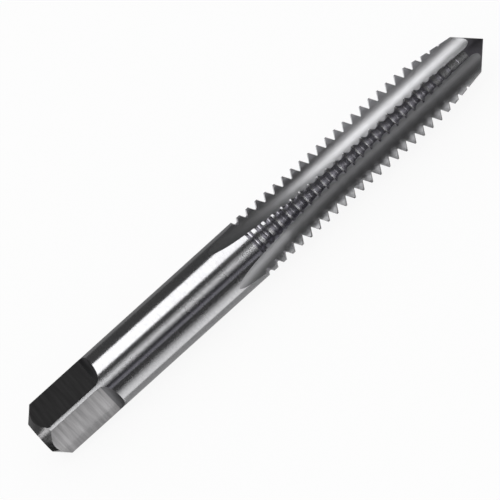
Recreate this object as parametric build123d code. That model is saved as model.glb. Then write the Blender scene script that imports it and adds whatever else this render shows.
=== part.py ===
from build123d import *
import os
from math import atan, cos, degrees, pi, radians, sin, sqrt, tan

# Straight-flute hand tap, 5/16 in with 18 threads per inch, ground from one piece of steel.
# It is built upright on its axis, drive end at zero and point upwards, and laid down last.
# Lengths are in millimetres and angles in degrees.

# Blank
body_diameter = 7.9375        # thread crests where the lead begins, 5/16 in
back_taper = 0.07             # how much less the shank and the crests next to it measure
shoulder_length = 69.4        # drive end to the base of the point
point_angle = 90.0            # included angle of the male centre
lead_length = 7.4             # tapered lead behind the point
lead_end_diameter = 5.7       # at the base of the point

# Drive square
square_sides = 4
square_across_flats = 5.86
square_length = 9.2           # full depth of the flats
square_run_out = 1.6          # radius of the cutter that leaves the end of each flat
drive_chamfer = 1.7           # 45 degrees, round the drive end

# Thread
thread_pitch = 25.4 / 18
thread_angle = 60.0
thread_crest_flat = 0.17
thread_root_flat = 0.05
thread_start = 34.25          # drive end to the middle of the first groove
entry_depth = 0.38            # depth of the groove where it starts
entry_root_flat = 0.36        # width of the groove's floor where it starts
entry_turns = 6.0             # turns until the groove is full depth
groove_gap = 10.0             # between the cuts over two lands, in the open flute

# Flutes
flute_count = 4
flute_radius = 2.0            # round section of a flute
flute_turn = 1.35             # turn of the flutes towards the cutting faces they leave
web_diameter = 3.28           # core left between the flutes
flute_start = 29.9            # drive end to where the flutes begin
flute_wheel_radius = 110.0    # wheel whose rim leaves the run-out
run_out_chords = 3            # straight lengths that stand for the wheel's arc

body_radius = body_diameter / 2
shank_radius = body_radius - back_taper / 2
web_radius = web_diameter / 2
point_length = lead_end_diameter / 2 / tan(radians(point_angle / 2))
tip_length = shoulder_length + point_length
beyond = body_diameter        # how far cutting shapes reach past the blank

flank_slope = tan(radians(thread_angle / 2))
groove_mouth = thread_pitch - thread_crest_flat
thread_depth = (groove_mouth - thread_root_flat) / 2 / flank_slope
mouth_rise = thread_crest_flat / 2    # cutting shape above the crests, its turns kept apart
lead_angle = degrees(atan(thread_pitch / pi / (body_diameter - thread_depth)))
groove_start_angle = 360 / flute_count * (flute_count // 2)    # in the middle of a flute
groove_arc = 360 / flute_count - groove_gap
seam_angle = -90    # where the blank's turned faces begin and end: underneath, once laid down


def ring_angles(count):
    """So many directions, evenly round the axis."""
    return [360 / count * number for number in range(count)]


def blank():
    """The ground body: chamfered drive end, shank, back taper, lead and point."""
    profile = Polyline(
        (0, 0),
        (shank_radius - drive_chamfer, 0),
        (shank_radius, drive_chamfer),
        (shank_radius, flute_start),
        (body_radius, shoulder_length - lead_length),
        (lead_end_diameter / 2, shoulder_length),
        (0, tip_length),
        close=True,
    )
    return Rotation(0, 0, seam_angle) * revolve(Plane.XZ * make_face(profile), Axis.Z)


def flat_cut():
    """What comes off for one flat of the drive square, with the hollow that ends it."""
    flat = square_across_flats / 2
    hollow = CenterArc((flat + square_run_out, square_length), square_run_out, 90, 90)
    top = hollow @ 0
    outer = top.X + beyond
    sides = Polyline(hollow @ 1, (flat, -beyond), (outer, -beyond), (outer, top.Y), top)
    return extrude(Plane.XZ * make_face([hollow, sides]), body_diameter, both=True)


def flute_path():
    """Middle line of a flute: chords of the wheel's arc, then straight on past the point."""
    sink = body_radius - web_radius
    arc_length = sqrt(2 * flute_wheel_radius * sink - sink**2)
    chord_angle = atan(arc_length / (flute_wheel_radius - sink)) / run_out_chords
    wheel_x = web_radius + flute_wheel_radius
    wheel_z = flute_start + arc_length
    reach = flute_wheel_radius - flute_radius
    turns = [chord_angle * number for number in range(run_out_chords + 1, -1, -1)]
    arc = [(wheel_x - reach * cos(turn), 0, wheel_z - reach * sin(turn)) for turn in turns]
    return Polyline(*arc, (web_radius + flute_radius, 0, tip_length + beyond))


def flute_cut():
    """What comes off for one flute: a round channel along the path of the wheel."""
    path = flute_path()
    section = Plane(origin=path @ 0, z_dir=path % 0) * Circle(flute_radius)
    return sweep(section, path=path, transition=Transition.RIGHT)


def groove_section(turn):
    """Section of the groove so many turns from its start: it eases in to full depth."""
    left = max(0, 1 - turn / entry_turns)
    floor = thread_root_flat + (entry_root_flat - thread_root_flat) * left**2
    depth = thread_depth - (thread_depth - entry_depth) * left**2
    spread = (depth + mouth_rise) * flank_slope
    tip_side = thread_root_flat / 2
    drive_side = tip_side - floor
    root = body_radius - depth
    mouth = body_radius + mouth_rise
    outline = Polyline(
        (root, drive_side),
        (root, tip_side),
        (mouth, tip_side + spread),
        (mouth, drive_side - spread),
        close=True,
    )
    return make_face(outline)


def groove_over_land(turn):
    """What comes off one land: an arc of the groove, tilted to the lead of the thread."""
    ring = revolve(Plane.XZ * groove_section(turn), Axis.Z, groove_arc)
    centred = Rotation(0, 0, -groove_arc / 2) * ring
    tilted = Rotation(lead_angle, 0, 0) * centred
    along = Pos(0, 0, thread_start + thread_pitch * turn)
    return Rotation(0, 0, groove_start_angle + 360 * turn) * along * tilted


def thread_cuts():
    """The right-hand thread, from land to land: each cut is a share of a pitch further on."""
    turns = (shoulder_length - thread_start) / thread_pitch
    lands = [(number + 0.5) / flute_count for number in range(int(turns * flute_count) + 1)]
    return [groove_over_land(turn) for turn in lands]


def tap():
    """The whole tap, upright on its axis."""
    body = blank()
    for angle in ring_angles(square_sides):
        body -= Rotation(0, 0, angle) * flat_cut()
    for angle in ring_angles(flute_count):
        body -= Rotation(0, 0, angle - flute_turn) * flute_cut()
    return body - thread_cuts()


def laid_down(shape):
    """Laid on its side with the point towards +X, resting on z = 0, centred on x = 0."""
    rest = Plane(origin=(-tip_length / 2, 0, shank_radius), x_dir=(0, 1, 0), z_dir=(1, 0, 0))
    return rest.location * shape


os.makedirs("parts", exist_ok=True)
export_step(laid_down(tap()), "parts/tap.step")
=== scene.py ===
from math import atan, atan2, cos, hypot, pi, radians, sin, sqrt, tan

import bmesh
import bpy
from bpy.props import FloatProperty, FloatVectorProperty, IntProperty, PointerProperty
from mathutils import Matrix, Vector


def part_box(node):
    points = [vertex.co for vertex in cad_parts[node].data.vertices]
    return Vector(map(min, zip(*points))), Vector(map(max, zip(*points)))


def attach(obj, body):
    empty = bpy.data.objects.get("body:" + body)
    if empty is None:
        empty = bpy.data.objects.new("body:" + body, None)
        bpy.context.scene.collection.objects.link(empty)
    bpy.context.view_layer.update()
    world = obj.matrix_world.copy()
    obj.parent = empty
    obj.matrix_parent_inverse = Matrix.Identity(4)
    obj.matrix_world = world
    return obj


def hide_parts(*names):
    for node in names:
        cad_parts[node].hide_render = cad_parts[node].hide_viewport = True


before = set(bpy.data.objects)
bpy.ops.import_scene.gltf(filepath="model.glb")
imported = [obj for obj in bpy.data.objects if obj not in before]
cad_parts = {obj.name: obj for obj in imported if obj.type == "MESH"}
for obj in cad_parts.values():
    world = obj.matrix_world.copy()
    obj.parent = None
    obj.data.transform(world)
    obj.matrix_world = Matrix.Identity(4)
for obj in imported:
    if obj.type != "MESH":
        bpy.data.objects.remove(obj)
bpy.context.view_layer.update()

bl_info = {
    "name": "Straight-flute hand tap",
    "version": (1, 0, 0),
    "blender": (4, 5, 0),
    "location": "View3D > Sidebar > Hand tap",
    "description": "Builds a ground hand tap, its steel finishes and a plain studio round it",
    "category": "Add Mesh",
}

# The tap is modelled upright on its axis in millimetres, drive end at zero and point upwards.
# It is laid down along X and brought to metres last, as the frame has it.
MM = 0.001
NODE = "tap"
BODY = "root"
NODE_LOW, NODE_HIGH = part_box(NODE)
NODE_LENGTH = NODE_HIGH.x - NODE_LOW.x
NODE_DIAMETER = NODE_HIGH.z - NODE_LOW.z
WITHIN = 1e-6    # a micron less than the CAD shank, so that rounding stays inside its box

# Material slots of the tap, in this order on it and on every shape that cuts it
SHANK, FLATS, HOLLOWS, DRIVE_END, FLUTES, THREAD, POINT = range(7)

SQUARE_SIDES = 4
HOLLOW_DIP = 0.26      # sine of the lean from which a flat's run-out counts as hollow
BLANK_STEPS = 360      # round the turned blank
HOLLOW_STEPS = 30      # round the quarter circle that ends a flat
FLUTE_STEPS = 180      # round the section of a flute
WHEEL_STEPS = 60       # along the wheel's arc
THREAD_STEPS = 120     # in one turn of the thread
ROOT_STEPS = 6         # round the thread's root
CRISP_THREAD = 24.0    # degrees between two faces from which their edge stays crisp, on the thread
CRISP_BODY = 6.5       # the same, on all the rest
MOST_FACES = 200000

# Ends of the long cards, and how far the cards on the floor lie above it, in metres
FAR = 1.2
CARD_LIFT = 0.0003


def linear(value):
    """One sRGB channel, 0 to 1, as linear light."""
    return value / 12.92 if value <= 0.04045 else ((value + 0.055) / 1.055) ** 2.4


def colour(hex_code):
    """An sRGB hex colour as linear red, green and blue."""
    code = hex_code.lstrip("#")
    return tuple(linear(int(code[place:place + 2], 16) / 255) for place in (0, 2, 4))


def length(name, description, default, **more):
    """A length in metres, given in millimetres."""
    return FloatProperty(name=name, description=description, default=default * MM,
                         min=0.0, unit="LENGTH", precision=5, **more)


def angle(name, description, default):
    """An angle, given in degrees."""
    return FloatProperty(name=name, description=description, default=radians(default),
                         unit="ROTATION", subtype="ANGLE")


def tint(name, description, hex_code):
    """A colour, given as an sRGB hex code."""
    return FloatVectorProperty(name=name, description=description, default=colour(hex_code),
                               size=3, min=0.0, max=1.0, subtype="COLOR")


def share(name, description, default, top=1.0):
    """A plain number from nothing to a top value."""
    return FloatProperty(name=name, description=description, default=default,
                         min=0.0, max=top, subtype="FACTOR" if top == 1.0 else "NONE")


class TapBlank(bpy.types.PropertyGroup):
    """Sizes of the turned and ground blank, with its drive square."""

    shank: FloatProperty(name="Shank", description="Diameter of the shank",
                         default=NODE_DIAMETER - WITHIN, unit="LENGTH", precision=5)
    crests: length("Crests", "Diameter over the thread where the lead begins", 7.9375)
    taper_start: length("Taper start", "Drive end to where the back taper begins", 29.9)
    overall: FloatProperty(name="Length", description="Drive end to the tip of the point",
                           default=NODE_LENGTH, unit="LENGTH", precision=5)
    point_angle: angle("Point angle", "Included angle of the male centre", 90.0)
    lead: length("Lead", "Tapered length behind the point", 7.4)
    lead_end: length("Lead end", "Diameter at the base of the point", 5.7)
    flats: length("Across flats", "Drive square, flat to flat", 5.86)
    flat_length: length("Flat length", "Full depth of the flats", 9.2)
    run_out: length("Run-out", "Radius of the cutter that leaves the end of each flat", 1.6)
    chamfer: length("Chamfer", "Forty-five degrees, round the drive end", 1.7)


class TapThread(bpy.types.PropertyGroup):
    """Sizes of the ground thread."""

    pitch: length("Pitch", "Eighteen threads per inch", 25.4 / 18)
    flank_angle: angle("Thread angle", "Between the flanks", 60.0)
    crest_flat: length("Crest flat", "Left between two grooves", 0.17)
    root_flat: length("Root flat", "Width of the groove's floor", 0.05)
    root_radius: length("Root radius", "Smallest round of the groove's floor", 0.08)
    start: length("Start", "Drive end to the middle of the first groove", 34.25)
    entry_depth: length("Entry depth", "Depth of the groove where it starts", 0.38)
    entry_flat: length("Entry flat", "Width of the groove's floor where it starts", 0.36)
    entry_turns: FloatProperty(name="Entry turns", description="Turns until full depth",
                               default=6.0, min=0.1)


class TapFlutes(bpy.types.PropertyGroup):
    """Sizes of the straight flutes."""

    count: IntProperty(name="Count", description="Flutes round the tap", default=4, min=2)
    radius: length("Radius", "Round section of a flute", 2.0)
    turn: angle("Turn", "Turn towards the cutting faces", 1.35)
    web: length("Web", "Core left between the flutes", 3.28)
    start: length("Start", "Drive end to where the flutes begin", 29.9)
    wheel: length("Wheel radius", "Wheel whose rim leaves the run-out", 110.0)


class TapFinish(bpy.types.PropertyGroup):
    """Colours and grain of the ground surfaces."""

    steel: tint("Ground steel", "Bright high-speed steel", "#C8C8CA")
    square: tint("Milled square", "Flats of the drive square", "#9D9C9D")
    hollow: tint("Milled hollow", "Run-outs of the flats, rough and dull", "#69696B")
    thread: tint("Ground thread", "Thread flanks, a little duller", "#B4B3B8")
    point: tint("Point", "Male centre, darkened by heat treatment", "#8E8B93")
    grit: length("Grit", "Width of one grinding scratch, coarse enough to show", 0.22)


class TapStage(bpy.types.PropertyGroup):
    """Light level, backdrop and the cards that metal mirrors."""

    backdrop: tint("Backdrop", "Floor and studio walls", "#FDFDFD")
    level: share("Level", "Strength of the even studio light", 1.0, 4.0)
    softbox: share("Softbox", "Brightness of the overhead softbox in the metal", 2.4, 9.0)
    reach: FloatProperty(name="Card distance", description="From the tap to the cards",
                         default=0.6, unit="LENGTH")
    distance: FloatProperty(name="Camera distance", description="From the tap to the camera",
                            default=0.8, unit="LENGTH")
    frame_width: FloatProperty(name="Frame width", description="Width seen at the tap",
                               default=0.0606, unit="LENGTH", precision=5)
    roll: angle("Roll", "Slope of the tap in the frame", 42.05)


# --- meshes -----------------------------------------------------------------------------


def millimetres(group, *names):
    """Lengths of a property group, in millimetres."""
    return [getattr(group, name) / MM for name in names]


def profile_edges(bm, points, closed=False):
    """Vertices joined in a row, in the XZ plane."""
    verts = [bm.verts.new((x, 0.0, z)) for x, z in points]
    pairs = list(zip(verts, verts[1:])) + ([(verts[-1], verts[0])] if closed else [])
    return verts, [bm.edges.new(pair) for pair in pairs]


def only_verts(geometry):
    """The vertices among what an extrusion gives back."""
    return [each for each in geometry if isinstance(each, bmesh.types.BMVert)]


def tidy(bm, slot):
    """Doubles merged, open ends closed, faces turned outwards and given a material slot."""
    bmesh.ops.remove_doubles(bm, verts=bm.verts, dist=1e-5)
    rims = [edge for edge in bm.edges if edge.is_boundary]
    if rims:
        bmesh.ops.holes_fill(bm, edges=rims, sides=0)
    bmesh.ops.recalc_face_normals(bm, faces=bm.faces)
    for face in bm.faces:
        face.smooth = True
        face.material_index = slot


def made_object(bm, name, materials):
    """A bmesh as an object of the scene."""
    mesh = bpy.data.meshes.new(name)
    bm.to_mesh(mesh)
    bm.free()
    for material in materials:
        mesh.materials.append(material)
    made = bpy.data.objects.new(name, mesh)
    bpy.context.scene.collection.objects.link(made)
    return made


def blank_profile(blank):
    """Radius and height of each corner of the turned body, from the drive end to the tip."""
    shank, crests, taper_start, overall, lead, lead_end, chamfer = millimetres(
        blank, "shank", "crests", "taper_start", "overall", "lead", "lead_end", "chamfer")
    shank, crests, lead_end = shank / 2, crests / 2, lead_end / 2
    shoulder = overall - lead_end / tan(blank.point_angle / 2)
    return [(0.0, 0.0), (shank - chamfer, 0.0), (shank, chamfer), (shank, taper_start),
            (crests, shoulder - lead), (lead_end, shoulder), (0.0, overall)]


def blank_mesh(blank):
    """The turned body: chamfered drive end, shank, tapered lead and point."""
    profile = blank_profile(blank)
    chamfer, shoulder = profile[2][1], profile[-2][1]
    bm = bmesh.new()
    verts, edges = profile_edges(bm, profile)
    bmesh.ops.spin(bm, geom=verts + edges, cent=(0, 0, 0), axis=(0, 0, 1), dvec=(0, 0, 0),
                   angle=2 * pi, steps=BLANK_STEPS, use_merge=True)
    tidy(bm, SHANK)
    for face in bm.faces:
        height = face.calc_center_median().z
        if height < chamfer:
            face.material_index = DRIVE_END
        elif height > shoulder:
            face.material_index = POINT
    return bm


def flat_mesh(blank, turn):
    """What comes off for one flat of the drive square, with the hollow that ends it."""
    beyond, flat, flat_length, run_out = millimetres(
        blank, "shank", "flats", "flat_length", "run_out")
    flat /= 2
    inner = flat + run_out
    outer, top = inner + beyond, flat_length + run_out
    corners = [(inner, top), (outer, top), (outer, -beyond), (flat, -beyond), (flat, flat_length)]
    bm = bmesh.new()
    verts, edges = profile_edges(bm, corners)
    foot = bm.verts.new(verts[-1].co)
    bmesh.ops.spin(bm, geom=[foot], cent=(inner, 0, flat_length), axis=(0, 1, 0),
                   dvec=(0, 0, 0), angle=pi / 2, steps=HOLLOW_STEPS, use_merge=False)
    bmesh.ops.remove_doubles(bm, verts=bm.verts, dist=1e-4)
    bmesh.ops.translate(bm, verts=bm.verts, vec=(0, -beyond, 0))
    filled = bmesh.ops.contextual_create(bm, geom=bm.edges)["faces"]
    pulled = bmesh.ops.extrude_face_region(bm, geom=filled)["geom"]
    bmesh.ops.translate(bm, verts=only_verts(pulled), vec=(0, 2 * beyond, 0))
    bmesh.ops.rotate(bm, verts=bm.verts, cent=(0, 0, 0), matrix=Matrix.Rotation(turn, 3, "Z"))
    tidy(bm, FLATS)
    for face in bm.faces:
        if abs(face.normal.z) > HOLLOW_DIP:
            face.material_index = HOLLOWS
    return bm


def flute_mesh(blank, flutes, turn):
    """What comes off for one flute: a straight round channel, then the wheel's arc."""
    body, overall = millimetres(blank, "crests", "overall")
    radius, web, start, wheel = millimetres(flutes, "radius", "web", "start", "wheel")
    body, web = body / 2, web / 2
    sink = body - web
    arc_length = sqrt(2 * wheel * sink - sink ** 2)
    arc_end = start + arc_length
    arc_angle = atan(arc_length / (wheel - sink))
    bm = bmesh.new()
    bmesh.ops.create_circle(bm, cap_ends=False, segments=FLUTE_STEPS, radius=radius)
    bmesh.ops.translate(bm, verts=bm.verts, vec=(web + radius, 0, arc_end))
    ring = list(bm.edges)
    pulled = bmesh.ops.extrude_edge_only(bm, edges=ring)["geom"]
    bmesh.ops.translate(bm, verts=only_verts(pulled), vec=(0, 0, overall + body - arc_end))
    rim = list(dict.fromkeys(vert for edge in ring for vert in edge.verts))
    bmesh.ops.spin(bm, geom=ring + rim, cent=(web + wheel, 0, arc_end), axis=(0, -1, 0),
                   dvec=(0, 0, 0), angle=2 * arc_angle, steps=WHEEL_STEPS, use_merge=False)
    bmesh.ops.rotate(bm, verts=bm.verts, cent=(0, 0, 0), matrix=Matrix.Rotation(turn, 3, "Z"))
    tidy(bm, FLUTES)
    return bm


def groove_mesh(blank, thread, first_angle):
    """The thread's groove: its section spun up the helix, then eased in where it starts."""
    body, overall = millimetres(blank, "crests", "overall")
    pitch, crest, flat, root, start, entry_depth, entry_flat = millimetres(
        thread, "pitch", "crest_flat", "root_flat", "root_radius", "start", "entry_depth",
        "entry_flat")
    body /= 2
    half_angle = thread.flank_angle / 2
    slope = tan(half_angle)
    depth = (pitch - crest - flat) / 2 / slope
    rise = crest / 2

    def section(turn):
        """Points of the groove's section so many turns from its start, about its middle."""
        left = max(0.0, 1 - turn / thread.entry_turns) ** 2
        floor = flat + (entry_flat - flat) * left
        deep = depth - (depth - entry_depth) * left
        middle = (flat - floor) / 2
        apex = deep + floor / 2 / slope
        round_off = max(root, (apex - deep) / (1 / sin(half_angle) - 1))
        centre = apex - round_off / sin(half_angle)
        swing = [(pi - thread.flank_angle) * (step / ROOT_STEPS - 0.5)
                 for step in range(ROOT_STEPS + 1)]
        spread = (apex + rise) * slope
        return [(body - centre - round_off * cos(turned), middle + round_off * sin(turned))
                for turned in swing] + [(body + rise, middle + spread),
                                        (body + rise, middle - spread)]

    steps = int((overall - start) / pitch * THREAD_STEPS)
    bm = bmesh.new()
    full = section(thread.entry_turns)
    verts, edges = profile_edges(bm, [(x, start + z) for x, z in full], closed=True)
    bmesh.ops.spin(bm, geom=verts + edges, cent=(0, 0, 0), axis=(0, 0, 1),
                   dvec=(0, 0, pitch / THREAD_STEPS), angle=2 * pi * steps / THREAD_STEPS,
                   steps=steps, use_merge=False)
    middle = sum(z for x, z in full) / len(full)
    for vert in bm.verts:
        part = (atan2(vert.co.y, vert.co.x) / 2 / pi) % 1.0
        turn = part + round((vert.co.z - start - middle) / pitch - part)
        if turn < thread.entry_turns:
            radial, along = hypot(vert.co.x, vert.co.y), vert.co.z - start - pitch * turn
            corner = min(range(len(full)),
                         key=lambda k: hypot(full[k][0] - radial, full[k][1] - along))
            new_radial, new_along = section(max(0.0, turn))[corner]
            vert.co.x *= new_radial / radial
            vert.co.y *= new_radial / radial
            vert.co.z += new_along - along
    bmesh.ops.rotate(bm, verts=bm.verts, cent=(0, 0, 0),
                     matrix=Matrix.Rotation(first_angle, 3, "Z"))
    tidy(bm, THREAD)
    return bm


def cut(piece, bm, name, materials):
    """Takes a shape away from the piece; each new face keeps its own material slot."""
    cutter = made_object(bm, name, materials)
    modifier = piece.modifiers.new(name, "BOOLEAN")
    modifier.operation = "DIFFERENCE"
    modifier.solver = "EXACT"
    modifier.material_mode = "INDEX"
    modifier.object = cutter
    apply_modifiers(piece)
    mesh = cutter.data
    bpy.data.objects.remove(cutter)
    bpy.data.meshes.remove(mesh)


def apply_modifiers(piece):
    """Makes the piece's mesh what its modifiers show."""
    bpy.context.view_layer.update()
    depsgraph = bpy.context.evaluated_depsgraph_get()
    result = bpy.data.meshes.new_from_object(piece.evaluated_get(depsgraph))
    piece.modifiers.clear()
    old = piece.data
    piece.data = result
    bpy.data.meshes.remove(old)


def lay_down(piece, blank):
    """Brings the upright piece to metres and lays it along X, resting on the floor."""
    turned = Matrix(((0, 0, 1, 0), (1, 0, 0, 0), (0, 1, 0, 0), (0, 0, 0, 1)))
    placed = Matrix.Translation(((NODE_LOW.x + NODE_HIGH.x) / 2 - blank.overall / 2, 0.0,
                                 (NODE_LOW.z + NODE_HIGH.z) / 2))
    piece.data.transform(placed @ turned @ Matrix.Scale(MM, 4))


def finish_mesh(piece):
    """Merges slivers, keeps grinding edges crisp and the round surfaces smooth."""
    bm = bmesh.new()
    bm.from_mesh(piece.data)
    bmesh.ops.remove_doubles(bm, verts=bm.verts, dist=2e-4)
    bmesh.ops.dissolve_degenerate(bm, dist=1e-4, edges=bm.edges)
    bmesh.ops.triangulate(bm, faces=bm.faces)
    for edge in bm.edges:
        if len(edge.link_faces) == 2:
            one, two = edge.link_faces
            crisp = CRISP_THREAD if one.material_index == THREAD else CRISP_BODY
            edge.smooth = (edge.calc_face_angle(0.0) < radians(crisp)
                           and one.material_index == two.material_index)
    for face in bm.faces:
        face.smooth = True
    bm.to_mesh(piece.data)
    bm.free()
    weighted = piece.modifiers.new("weighted_normals", "WEIGHTED_NORMAL")
    weighted.mode = "FACE_AREA"
    weighted.weight = 90
    weighted.keep_sharp = True
    apply_modifiers(piece)


def true_normals(piece, blank, flutes):
    """Shades the turned faces and the flutes by their true form, not by their facets."""
    body, = millimetres(blank, "crests")
    radius, web, start, wheel = millimetres(flutes, "radius", "web", "start", "wheel")
    body, web = body / 2, web / 2
    sink = body - web
    arc_end = start + sqrt(2 * wheel * sink - sink ** 2)
    between = 2 * pi / flutes.count

    def in_flute(point, turn):
        """From a point of a flute's wall to the flute's middle line."""
        upright = Matrix.Rotation(-turn, 3, "Z") @ point
        hub = Vector((web + wheel, 0.0, arc_end))
        out = Vector((upright.x - hub.x, 0.0, min(0.0, upright.z - hub.z))).normalized()
        middle = hub + out * (wheel - radius)
        middle.z = max(middle.z, upright.z) if upright.z > arc_end else middle.z
        return Matrix.Rotation(turn, 3, "Z") @ (middle - upright).normalized()

    def turned(point, height):
        """Straight out of the turned stretch that holds a face at this height."""
        profile = blank_profile(blank)
        below, above = next(
            pair for pair in zip(profile, profile[1:]) if height <= pair[1][1] + 1e-4)
        tilt = atan2(below[0] - above[0], above[1] - below[1])
        side = cos(tilt) / max(1e-6, hypot(point.x, point.y))
        return Vector((point.x * side, point.y * side, sin(tilt)))

    mesh = piece.data
    normals = [loop.vector.copy() for loop in mesh.corner_normals]
    for face in mesh.polygons:
        centre = face.center
        number = round((atan2(centre.y, centre.x) + flutes.turn) / between)
        for place in face.loop_indices:
            point = mesh.vertices[mesh.loops[place].vertex_index].co
            if face.material_index == FLUTES:
                normals[place] = in_flute(point, number * between - flutes.turn)
            elif face.material_index in (SHANK, DRIVE_END, POINT):
                normals[place] = turned(point, centre.z)
    mesh.normals_split_custom_set(normals)


# --- materials --------------------------------------------------------------------------


def add(tree, kind, inputs=(), **settings):
    """Adds a node, sets its settings, and sets or links its inputs, named or numbered."""
    node = tree.nodes.new(kind)
    for name, value in settings.items():
        setattr(node, name, value)
    for socket, value in dict(inputs).items():
        if isinstance(value, bpy.types.NodeSocket):
            tree.links.new(value, node.inputs[socket])
        else:
            node.inputs[socket].default_value = value
    return node


def blank_tree(name):
    """A new material, with its node tree empty."""
    material = bpy.data.materials.new(name)
    material.use_nodes = True
    material.node_tree.nodes.clear()
    return material, material.node_tree


def ground_metal(name, tint_colour, roughness, anisotropy, along, grit, stretch, bump, blotch):
    """Steel ground in one direction: fine scratches, a lobe spread across them, faint blotches.

    The scratches are as wide as the grit and so many times as long as stretch says. They run
    along the tap or round it, and the highlight is drawn out across them.
    """
    material, tree = blank_tree(name)
    place = add(tree, "ShaderNodeTexCoord").outputs["Object"]
    fine = 1 / grit
    scale = (fine / stretch, fine, fine) if along else (fine, fine / stretch, fine / stretch)
    scratches = add(tree, "ShaderNodeMapping", {"Vector": place, "Scale": scale})
    grain = add(tree, "ShaderNodeTexNoise", {
        "Vector": scratches.outputs["Vector"], "Scale": 1.0, "Detail": 3.0, "Roughness": 0.6})
    clouds = add(tree, "ShaderNodeTexNoise", {
        "Vector": place, "Scale": 1 / (12 * grit), "Detail": 4.0, "Roughness": 0.55})
    shade = add(tree, "ShaderNodeMapRange", {
        "Value": grain.outputs["Fac"], "From Min": 0.3, "From Max": 0.7,
        "To Min": 1 - blotch, "To Max": 1 + blotch}, clamp=False)
    tone = add(tree, "ShaderNodeVectorMath", {0: (*tint_colour, ), "Scale": shade.outputs[0]},
               operation="SCALE")
    rough = add(tree, "ShaderNodeMapRange", {
        "Value": clouds.outputs["Fac"], "From Min": 0.3, "From Max": 0.7,
        "To Min": roughness * 0.95, "To Max": roughness * 1.05})
    relief = add(tree, "ShaderNodeBump", {
        "Height": grain.outputs["Fac"], "Strength": bump, "Distance": grit})
    around = add(tree, "ShaderNodeTangent", direction_type="RADIAL", axis="X")
    surface = add(tree, "ShaderNodeBsdfPrincipled", {
        "Base Color": tone.outputs["Vector"], "Metallic": 1.0,
        "Roughness": rough.outputs["Result"], "Anisotropic": anisotropy,
        "Anisotropic Rotation": 0.0 if along else 0.25,
        "Normal": relief.outputs["Normal"], "Tangent": around.outputs["Tangent"]})
    add(tree, "ShaderNodeOutputMaterial", {"Surface": surface.outputs["BSDF"]})
    return material


def glow(name, tint_colour, strength):
    """A card seen only in metal."""
    material, tree = blank_tree(name)
    light = add(tree, "ShaderNodeEmission", {"Color": (*tint_colour, 1.0), "Strength": strength})
    add(tree, "ShaderNodeOutputMaterial", {"Surface": light.outputs["Emission"]})
    return material


def fading(name, tint_colour, low, high, low_strength, high_strength):
    """A card seen only in metal, brighter towards one side along Y."""
    material, tree = blank_tree(name)
    place = add(tree, "ShaderNodeTexCoord").outputs["Object"]
    across = add(tree, "ShaderNodeSeparateXYZ", {"Vector": place})
    strength = add(tree, "ShaderNodeMapRange", {
        "Value": across.outputs["Y"], "From Min": low, "From Max": high,
        "To Min": low_strength, "To Max": high_strength})
    light = add(tree, "ShaderNodeEmission", {
        "Color": (*tint_colour, 1.0), "Strength": strength.outputs["Result"]})
    add(tree, "ShaderNodeOutputMaterial", {"Surface": light.outputs["Emission"]})
    return material


# --- operators --------------------------------------------------------------------------


class TAP_OT_body(bpy.types.Operator):
    """Builds the tap from its blank: drive square, flutes and thread are cut in turn"""

    bl_idname = "tap.body"
    bl_label = "Hand tap"

    def execute(self, context):
        scene = context.scene
        blank, thread, flutes, finish = (
            scene.tap_blank, scene.tap_thread, scene.tap_flutes, scene.tap_finish)
        materials = self.finishes(finish)
        piece = made_object(blank_mesh(blank), "hand_tap", materials)
        for number in range(SQUARE_SIDES):
            turn = 2 * pi * number / SQUARE_SIDES
            cut(piece, flat_mesh(blank, turn), "flat", materials)
        for number in range(flutes.count):
            turn = 2 * pi * number / flutes.count - flutes.turn
            cut(piece, flute_mesh(blank, flutes, turn), "flute", materials)
        first = 2 * pi / flutes.count * (flutes.count // 2)
        cut(piece, groove_mesh(blank, thread, first), "groove", materials)
        finish_mesh(piece)
        true_normals(piece, blank, flutes)
        lay_down(piece, blank)
        if len(piece.data.polygons) > MOST_FACES:
            raise RuntimeError("the tap has too many faces")
        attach(piece, BODY)
        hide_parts(NODE)
        return {"FINISHED"}

    def finishes(self, finish):
        """The steel's finishes, one for each slot, all cut in the same bar."""
        grit, steel, square = finish.grit, finish.steel, finish.square
        table = (
            # name, tint, roughness, anisotropy, scratches along the tap, their width and their
            # length in widths, relief, blotches
            # Cylindrically ground high-speed steel: bright bands that run the whole shank
            ("ground_steel_shank", steel, 0.27, 0.93, False, grit, 3, 0.008, 0.08),
            # Milled drive flats: satin, with tool marks across them
            ("milled_steel_flats", square, 0.25, 0.9, False, 2 * grit, 16, 0.05, 0.2),
            # The hollows that end the flats: milled rougher, darker and dull
            ("milled_steel_hollows", finish.hollow, 0.3, 0.6, False, 2 * grit, 8, 0.05, 0.1),
            # Turned end face and chamfer: smooth, with soft highlights
            ("turned_steel_end", square, 0.22, 0.3, False, grit, 4, 0.05, 0.06),
            # Flutes ground lengthwise: one broad soft highlight down each channel
            ("ground_steel_flutes", steel, 0.32, 0.955, True, grit, 6, 0.02, 0.06),
            # Form-ground thread: crisp flanks, a little duller than the shank
            ("ground_steel_thread", finish.thread, 0.26, 0.75, False, grit, 3, 0.01, 0.08),
            # Point, ground after hardening: dark and dull
            ("ground_steel_point", finish.point, 0.34, 0.4, False, grit, 3, 0.08, 0.05),
        )
        return [ground_metal(*row) for row in table]


def direction(turn):
    """Across the tap, so many degrees from the camera towards the top of the frame."""
    toward = Vector((0.0, -sqrt(0.5), sqrt(0.5)))
    upward = Vector((0.0, sqrt(0.5), sqrt(0.5)))
    return toward * cos(radians(turn)) + upward * sin(radians(turn))


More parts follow.
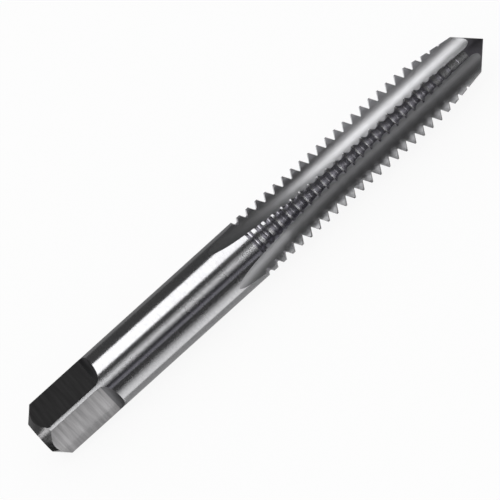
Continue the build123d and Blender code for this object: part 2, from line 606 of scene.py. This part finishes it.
def card(name, low, high, left, right, reach, material, axis_height):
    """A strip along the tap between two directions, seen only in metal."""
    middle = (low + high) / 2
    half = reach * tan(radians((high - low) / 2))
    out, side = direction(middle), direction(middle + 90)
    centre = Vector((0.0, 0.0, axis_height)) + out * reach
    bm = bmesh.new()
    corners = [centre + side * (half * across) + Vector((x, 0, 0))
               for x, across in ((left, -1), (right, -1), (right, 1), (left, 1))]
    bm.faces.new([bm.verts.new(corner) for corner in corners])
    return only_mirrored(made_object(bm, name, [material]))


def upright(name, low, high, material):
    """A standing card between two opposite corners, seen only in metal."""
    bm = bmesh.new()
    corners = [(low[0], low[1], low[2]), (high[0], high[1], low[2]),
               (high[0], high[1], high[2]), (low[0], low[1], high[2])]
    bm.faces.new([bm.verts.new(corner) for corner in corners])
    return only_mirrored(made_object(bm, name, [material]))


def flat_card(name, low, high, material):
    """A card lying just above the floor, seen only in metal."""
    bm = bmesh.new()
    corners = [(low[0], low[1]), (high[0], low[1]), (high[0], high[1]), (low[0], high[1])]
    bm.faces.new([bm.verts.new((x, y, CARD_LIFT)) for x, y in corners])
    return only_mirrored(made_object(bm, name, [material]))


def only_mirrored(made):
    """Shown in metal alone, and part of the stage."""
    made.visible_camera = False
    made.visible_diffuse = False
    made.visible_shadow = False
    made.visible_transmission = False
    return made


class TAP_OT_stage(bpy.types.Operator):
    """Sets a pale floor, an even studio light, the cards that metal mirrors and the camera"""

    bl_idname = "tap.stage"
    bl_label = "Studio"

    def execute(self, context):
        scene = context.scene
        stage = scene.tap_stage
        axis_height = scene.tap_blank.shank / 2
        self.floor(stage)
        self.world(scene, stage)
        self.cards(stage, axis_height)
        self.camera(scene, stage, axis_height)
        return {"FINISHED"}

    def floor(self, stage):
        """A wide plain floor that keeps a faint shadow under the tap."""
        material, tree = blank_tree("matt_white_floor")
        paint = add(tree, "ShaderNodeBsdfDiffuse", {"Color": (*stage.backdrop, 1.0)})
        light = add(tree, "ShaderNodeEmission", {"Color": (*stage.backdrop, 1.0), "Strength": 1.0})
        path = add(tree, "ShaderNodeLightPath")
        clear = add(tree, "ShaderNodeMath", {
            0: path.outputs["Is Camera Ray"], 1: path.outputs["Is Transmission Ray"]},
            operation="MAXIMUM")
        clear = add(tree, "ShaderNodeMath", {0: clear.outputs[0], 1: 0.92}, operation="MULTIPLY")
        lift = add(tree, "ShaderNodeMath", {
            0: path.outputs["Is Glossy Ray"], 1: 0.15, 2: clear.outputs[0]},
            operation="MULTIPLY_ADD")
        mixed = add(tree, "ShaderNodeMixShader", {
            0: lift.outputs[0], 1: paint.outputs[0], 2: light.outputs[0]})
        add(tree, "ShaderNodeOutputMaterial", {"Surface": mixed.outputs[0]})
        bm = bmesh.new()
        bmesh.ops.create_grid(bm, x_segments=1, y_segments=1, size=6.0)
        made_object(bm, "floor", [material])

    def world(self, scene, stage):
        """The same white from every side."""
        world = bpy.data.worlds.new("white_studio")
        world.use_nodes = True
        tree = world.node_tree
        tree.nodes.clear()
        light = add(tree, "ShaderNodeBackground", {
            "Color": (*stage.backdrop, 1.0), "Strength": stage.level})
        add(tree, "ShaderNodeOutputWorld", {"Surface": light.outputs["Background"]})
        scene.world = world

    def cards(self, stage, axis_height):
        """Softbox, fills and flags in long strips beside the tap."""
        white, cool = colour("#FFFFFF"), colour("#F3F1FF")
        far = stage.reach
        strips = (
            # name, from and to in degrees, left and right in metres, strength, tint
            ("softbox", 31.0, 75.5, -0.7, 0.092, stage.softbox, white),
            ("softbox_edge", 31.0, 75.5, 0.092, FAR, 0.08, white),
            ("softbox_far", 31.0, 75.5, -FAR, -0.7, 0.10, white),
            ("back_flag", 75.5, 137.0, -FAR, FAR, 0.07, white),
            ("gap_flag", 12.0, 31.0, -FAR, FAR, 0.05, white),
            ("wing_middle", -10.0, 3.0, -1.0, -0.14, 3.6, white),
            ("wing_top", 3.0, 12.0, -1.0, -0.14, 1.4, white),
            ("wing_low", -17.0, -10.0, -1.0, -0.14, 1.4, white),
            ("lens_flag", -17.0, 12.0, -0.14, FAR, 0.05, white),
            ("under_flag", -30.0, -17.0, -FAR, FAR, 0.03, cool),
            ("low_strip", -40.0, -30.0, -FAR, FAR, 0.24, cool),
        )
        for name, low, high, left, right, strength, tinted in strips:
            card(name, low, high, left, right, far, glow("card_" + name, tinted, strength),
                 axis_height)
        low_flags = (
            # name, y, top and strength of a low flag along the tap
            ("front_flag", -0.0165, 0.0066, 0.05), ("rear_flag", 0.012, 0.0086, 0.2))
        for name, y, top, strength in low_flags:
            upright(name, (-0.6, y, 0.0005), (0.6, y, top), glow("card_" + name, white, strength))
        # The ends of the studio, dark enough to keep the thread's flanks and the point dark
        for name, x, strength in (("drive_end_flag", -FAR, 0.1), ("point_end_flag", FAR, 0.16)):
            upright(name, (x, -FAR, 0.001), (x, FAR, FAR), glow("card_" + name, white, strength))
        self.floor_cards(white)

    def floor_cards(self, white):
        """The floor as the metal sees it, which dims away from the tap, with a painted shadow
        close under it.
        """
        near, far = -0.0062, -0.0155
        fading_floors = (
            # name, left and right, strength far from the tap and near it
            ("front_floor", -0.3, 0.004, 0.10, 1.05), ("thread_floor", 0.004, 0.3, 0.06, 0.5))
        for name, left, right, far_strength, near_strength in fading_floors:
            flat_card(name, (left, -0.0165), (right, -0.0052), fading(
                "card_" + name, white, far, near, far_strength, near_strength))
        # The first three cards are painted shadow: dim cards lying close under the tap, seen only
        # in metal, which stand in for the tap's shadow on the floor
        floors = (
            # name, name of its light, two corners, strength
            ("painted_floor_shadow", "card_painted_floor_shadow", (-0.0255, -0.0052), (0.004, 0.004), 0.33),
            ("painted_floor_shadow_thread", "card_painted_floor_shadow_thread", (0.004, -0.0052), (0.3, 0.004), 0.2),
            ("painted_floor_shadow_run_out", "card_painted_floor_shadow_run_out", (-0.0305, -0.0038), (-0.0255, 0.004), 0.2),
            ("drive_end_floor", "card_drive", (-0.12, -0.2), (-0.0368, 0.2), 0.04),
            ("point_end_floor", "card_point", (0.0368, -0.2), (0.3, 0.2), 0.08),
        )
        for name, light, low, high, strength in floors:
            flat_card(name, low, high, glow(light, white, strength))
        # A bright patch that the drive end's chamfer catches
        upright("drive_end_patch", (-0.59, 0.08, 0.001), (-0.59, -0.06, 0.06),
                glow("card_patch", white, 3.2))

    def camera(self, scene, stage, axis_height):
        """Forty-five degrees above the floor, rolled so that the tap runs corner to corner."""
        out, up = direction(0), direction(90)
        along = Vector((1.0, 0.0, 0.0))
        roll = stage.roll
        right = along * cos(roll) - up * sin(roll)
        top = along * sin(roll) + up * cos(roll)
        aim = Vector((-0.00201, 0.0, axis_height)) - up * 0.00009
        lens = bpy.data.cameras.new("camera")
        lens.sensor_width = 36.0
        lens.lens = lens.sensor_width * stage.distance / stage.frame_width
        lens.clip_start, lens.clip_end = 0.05, 20.0
        camera = bpy.data.objects.new("camera", lens)
        basis = Matrix((right, top, out)).transposed().to_4x4()
        camera.matrix_world = Matrix.Translation(aim + out * stage.distance) @ basis
        scene.collection.objects.link(camera)
        scene.camera = camera
        scene.view_settings.view_transform = "Standard"


class TAP_PT_panel(bpy.types.Panel):
    """Lists the sizes, the finishes and the builders"""

    bl_idname = "TAP_PT_panel"
    bl_label = "Hand tap"
    bl_space_type = "VIEW_3D"
    bl_region_type = "UI"
    bl_category = "Hand tap"

    def draw(self, context):
        for group in GROUPS:
            box = self.layout.box()
            box.label(text=group.__doc__)
            settings = getattr(context.scene, GROUPS[group])
            for name in group.__annotations__:
                box.prop(settings, name)
        for operator in OPERATORS:
            self.layout.operator(operator.bl_idname)


GROUPS = {TapBlank: "tap_blank", TapThread: "tap_thread", TapFlutes: "tap_flutes",
          TapFinish: "tap_finish", TapStage: "tap_stage"}
OPERATORS = (TAP_OT_body, TAP_OT_stage)


def register():
    for each in (*GROUPS, *OPERATORS, TAP_PT_panel):
        bpy.utils.register_class(each)
    for group, name in GROUPS.items():
        setattr(bpy.types.Scene, name, PointerProperty(type=group))


def unregister():
    for name in GROUPS.values():
        delattr(bpy.types.Scene, name)
    for each in reversed((*GROUPS, *OPERATORS, TAP_PT_panel)):
        bpy.utils.unregister_class(each)


def main():
    """Registers the add-on and builds the tap and the studio."""
    register()
    bpy.ops.tap.body()
    bpy.ops.tap.stage()
    bpy.context.view_layer.update()


if __name__ == "__main__":
    main()
